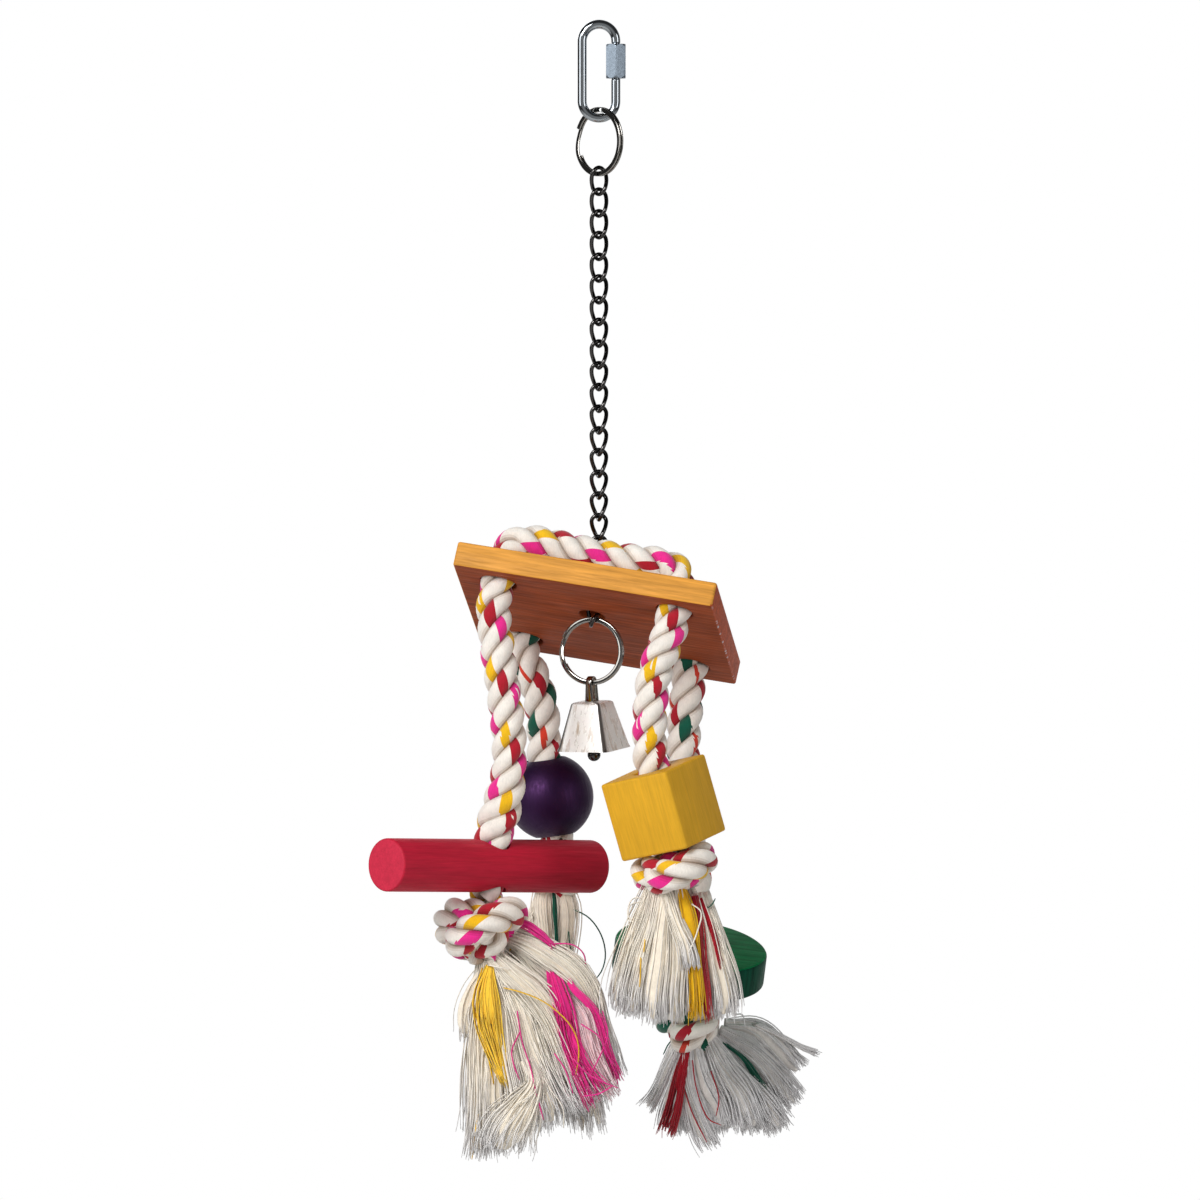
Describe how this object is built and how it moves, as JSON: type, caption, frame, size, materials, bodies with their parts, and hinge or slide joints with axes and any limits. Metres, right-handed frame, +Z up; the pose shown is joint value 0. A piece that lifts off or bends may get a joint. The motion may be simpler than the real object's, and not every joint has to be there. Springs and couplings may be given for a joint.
{
  "type": "hanging bird chew toy",
  "caption": "Hanging chew toy for a cage bird: a chain carries a wooden board, from which hang knotted cotton ropes with coloured wooden beads and a small square bell.",
  "frame": {"origin": "inside top of the quick link, where the toy bears on its hook", "axes": "+Z up along the chain, +X to the right and +Y away from someone who faces the board's long front edge"},
  "size_m": [0.1673, 0.1248, 0.431],
  "materials": {
    "zinc": "bright zinc plate",
    "nickel": "polished nickel plate",
    "honey_wood": "stained, satin",
    "red_wood": "dyed crimson, satin",
    "yellow_wood": "dyed mustard yellow, satin",
    "purple_wood": "dyed dark purple, satin",
    "green_wood": "dyed dark green, satin",
    "cotton": "twisted three-strand cotton rope"
  },
  "bodies": {
    "quick_link": {"quick_link": "zinc"},
    "link_nut": {"link_nut": "zinc"},
    "upper_ring": {"upper_ring": "nickel"},
    "chain_01": {"chain_link_01": "nickel"},
    "chain_02": {"chain_link_02": "nickel"},
    "chain_03": {"chain_link_03": "nickel"},
    "chain_04": {"chain_link_04": "nickel"},
    "chain_05": {"chain_link_05": "nickel"},
    "chain_06": {"chain_link_06": "nickel"},
    "chain_07": {"chain_link_07": "nickel"},
    "chain_08": {"chain_link_08": "nickel"},
    "chain_09": {"chain_link_09": "nickel"},
    "chain_10": {"chain_link_10": "nickel"},
    "chain_11": {"chain_link_11": "nickel"},
    "chain_12": {"chain_link_12": "nickel"},
    "chain_13": {"chain_link_13": "nickel"},
    "chain_14": {"chain_link_14": "nickel"},
    "chain_15": {"chain_link_15": "nickel"},
    "chain_16": {"chain_link_16": "nickel"},
    "chain_17": {"chain_link_17": "nickel"},
    "chain_18": {"chain_link_18": "nickel"},
    "chain_19": {"chain_link_19": "nickel"},
    "board": {"board": "honey_wood", "front_rope_top": "cotton", "back_rope_top": "cotton", "chain_link_20": "nickel", "chain_link_21": "nickel"},
    "lower_ring": {"lower_ring": "nickel"},
    "bell": {"bell_shell": "nickel", "bell_hanger": "nickel"},
    "clapper": {"bell_clapper": "nickel"},
    "dowel_leg": {"dowel_rope": "cotton", "dowel_knot": "cotton"},
    "dowel_spinner": {"dowel_bar": "red_wood"},
    "dowel_fringe": {"dowel_tassel": "cotton"},
    "cube_leg": {"cube_rope": "cotton", "cube_knot": "cotton"},
    "cube_spinner": {"cube_block": "yellow_wood"},
    "cube_fringe": {"cube_tassel": "cotton"},
    "ball_leg": {"ball_rope": "cotton", "ball_knot": "cotton"},
    "ball_spinner": {"ball_bead": "purple_wood"},
    "ball_fringe": {"ball_tassel": "cotton"},
    "disc_leg": {"disc_rope": "cotton", "disc_knot": "cotton"},
    "disc_spinner": {"disc_bead": "green_wood"},
    "disc_fringe": {"disc_tassel": "cotton"}
  },
  "joints": [
    {"name": "dowel_leg_swing", "type": "hinge", "parent": "board", "child": "dowel_leg", "pos_m": [-0.03872, -0.01796, -0.21297], "axis": [1, 0, 0], "range_deg": [-60, 2]},
    {"name": "cube_leg_swing", "type": "hinge", "parent": "board", "child": "cube_leg", "pos_m": [0.02738, -0.02985, -0.22361], "axis": [1, 0, 0], "range_deg": [-60, 4]},
    {"name": "ball_leg_swing", "type": "hinge", "parent": "board", "child": "ball_leg", "pos_m": [-0.02906, 0.03744, -0.2341], "axis": [1, 0, 0], "range_deg": [-2, 35]},
    {"name": "disc_leg_swing", "type": "hinge", "parent": "board", "child": "disc_leg", "pos_m": [0.03412, 0.02607, -0.24427], "axis": [1, 0, 0], "range_deg": [-4, 35]},
    {"name": "dowel_tassel_swing", "type": "hinge", "parent": "dowel_leg", "child": "dowel_fringe", "pos_m": [-0.03675, -0.02231, -0.35747], "axis": [0, 1, 0], "range_deg": [-3, 35]},
    {"name": "cube_tassel_swing", "type": "hinge", "parent": "cube_leg", "child": "cube_fringe", "pos_m": [0.0287, -0.02886, -0.33339], "axis": [0, 1, 0], "range_deg": [-35, 3]},
    {"name": "ball_tassel_swing", "type": "hinge", "parent": "ball_leg", "child": "ball_fringe", "pos_m": [-0.01764, 0.04301, -0.33354], "axis": [0, 1, 0], "range_deg": [-25, 25]},
    {"name": "disc_tassel_swing", "type": "hinge", "parent": "disc_leg", "child": "disc_fringe", "pos_m": [0.04035, 0.03441, -0.39204], "axis": [0, 1, 0], "range_deg": [-35, 8]},
    {"name": "dowel_spin", "type": "hinge", "parent": "dowel_leg", "child": "dowel_spinner", "pos_m": [-0.04111, -0.02303, -0.3153], "axis": [0.0992, -0.0724, 0.9924], "range_deg": [-24, 10]},
    {"name": "cube_spin", "type": "hinge", "parent": "cube_leg", "child": "cube_spinner", "pos_m": [0.02415, -0.03249, -0.29339], "axis": [-0.2709, -0.091, 0.9583], "continuous": true},
    {"name": "ball_spin", "type": "hinge", "parent": "ball_leg", "child": "ball_spinner", "pos_m": [-0.01858, 0.04042, -0.29041], "axis": [-0.1384, -0.0593, 0.9886], "continuous": true},
    {"name": "disc_spin", "type": "hinge", "parent": "disc_leg", "child": "disc_spinner", "pos_m": [0.0343, 0.02841, -0.35226], "axis": [0.116, -0.3099, 0.9437], "continuous": true},
    {"name": "bell_swing", "type": "hinge", "parent": "lower_ring", "child": "bell", "pos_m": [-0.00289, -0.00445, -0.2466], "axis": [0.9397, -0.342, 0], "range_deg": [-35, 25]},
    {"name": "clapper_swing", "type": "hinge", "parent": "bell", "child": "clapper", "pos_m": [-0.00243, -0.00317, -0.25887], "axis": [0.4674, 0.8773, 0.1087], "range_deg": [-22, 22]},
    {"name": "board_swing", "type": "hinge", "parent": "chain_19", "child": "board", "pos_m": [0, 0, -0.20981], "axis": [0.0716, -0.9974, 0], "range_deg": [-20, 20]},
    {"name": "lower_ring_swing", "type": "hinge", "parent": "board", "child": "lower_ring", "pos_m": [-0.00289, -0.00445, -0.2228], "axis": [0.9397, -0.342, 0], "range_deg": [-40, 30]},
    {"name": "upper_ring_swing", "type": "hinge", "parent": "quick_link", "child": "upper_ring", "pos_m": [0, 0, -0.03365], "axis": [1, 0, 0], "range_deg": [-35, 35]},
    {"name": "nut_slide", "type": "slide", "parent": "quick_link", "child": "link_nut", "axis": [0, 0, -1], "range_m": [0, 0.0082]},
    {"name": "link_01_swing", "type": "hinge", "parent": "upper_ring", "child": "chain_01", "pos_m": [0, 0, -0.05465], "axis": [0.6561, -0.7547, 0], "range_deg": [-30, 30]},
    {"name": "link_02_swing", "type": "hinge", "parent": "chain_01", "child": "chain_02", "pos_m": [0, 0, -0.06049], "axis": [0.7547, 0.656, 0], "range_deg": [-30, 30]},
    {"name": "link_03_swing", "type": "hinge", "parent": "chain_02", "child": "chain_03", "pos_m": [0, 0, -0.07058], "axis": [-0.6286, 0.7777, 0], "range_deg": [-30, 30]},
    {"name": "link_04_swing", "type": "hinge", "parent": "chain_03", "child": "chain_04", "pos_m": [0, 0, -0.07687], "axis": [-0.7997, -0.6004, 0], "range_deg": [-30, 30]},
    {"name": "link_05_swing", "type": "hinge", "parent": "chain_04", "child": "chain_05", "pos_m": [0, 0, -0.08696], "axis": [0.5714, -0.8206, 0], "range_deg": [-30, 30]},
    {"name": "link_06_swing", "type": "hinge", "parent": "chain_05", "child": "chain_06", "pos_m": [0, 0, -0.09325], "axis": [0.8406, 0.5417, 0], "range_deg": [-30, 30]},
    {"name": "link_07_swing", "type": "hinge", "parent": "chain_06", "child": "chain_07", "pos_m": [0, 0, -0.10334], "axis": [-0.5113, 0.8594, 0], "range_deg": [-30, 30]},
    {"name": "link_08_swing", "type": "hinge", "parent": "chain_07", "child": "chain_08", "pos_m": [0, 0, -0.10963], "axis": [-0.8772, -0.4802, 0], "range_deg": [-30, 30]},
    {"name": "link_09_swing", "type": "hinge", "parent": "chain_08", "child": "chain_09", "pos_m": [0, 0, -0.11972], "axis": [0.4486, -0.8937, 0], "range_deg": [-30, 30]},
    {"name": "link_10_swing", "type": "hinge", "parent": "chain_09", "child": "chain_10", "pos_m": [0, 0, -0.12601], "axis": [0.9092, 0.4163, 0], "range_deg": [-30, 30]},
    {"name": "link_11_swing", "type": "hinge", "parent": "chain_10", "child": "chain_11", "pos_m": [0, 0, -0.1361], "axis": [-0.3835, 0.9236, 0], "range_deg": [-30, 30]},
    {"name": "link_12_swing", "type": "hinge", "parent": "chain_11", "child": "chain_12", "pos_m": [0, 0, -0.14239], "axis": [-0.9367, -0.3502, 0], "range_deg": [-30, 30]},
    {"name": "link_13_swing", "type": "hinge", "parent": "chain_12", "child": "chain_13", "pos_m": [0, 0, -0.15248], "axis": [0.3164, -0.9486, 0], "range_deg": [-30, 30]},
    {"name": "link_14_swing", "type": "hinge", "parent": "chain_13", "child": "chain_14", "pos_m": [0, 0, -0.15877], "axis": [0.9593, 0.2823, 0], "range_deg": [-30, 30]},
    {"name": "link_15_swing", "type": "hinge", "parent": "chain_14", "child": "chain_15", "pos_m": [0, 0, -0.16886], "axis": [-0.2478, 0.9688, 0], "range_deg": [-30, 30]},
    {"name": "link_16_swing", "type": "hinge", "parent": "chain_15", "child": "chain_16", "pos_m": [0, 0, -0.17515], "axis": [-0.977, -0.2131, 0], "range_deg": [-30, 30]},
    {"name": "link_17_swing", "type": "hinge", "parent": "chain_16", "child": "chain_17", "pos_m": [0, 0, -0.18524], "axis": [0.1779, -0.984, 0], "range_deg": [-30, 30]},
    {"name": "link_18_swing", "type": "hinge", "parent": "chain_17", "child": "chain_18", "pos_m": [0, 0, -0.19153], "axis": [0.9898, 0.1426, 0], "range_deg": [-30, 30]},
    {"name": "link_19_swing", "type": "hinge", "parent": "chain_18", "child": "chain_19", "pos_m": [0, 0, -0.20162], "axis": [-0.1071, 0.9942, 0], "range_deg": [-30, 30]}
  ]
}
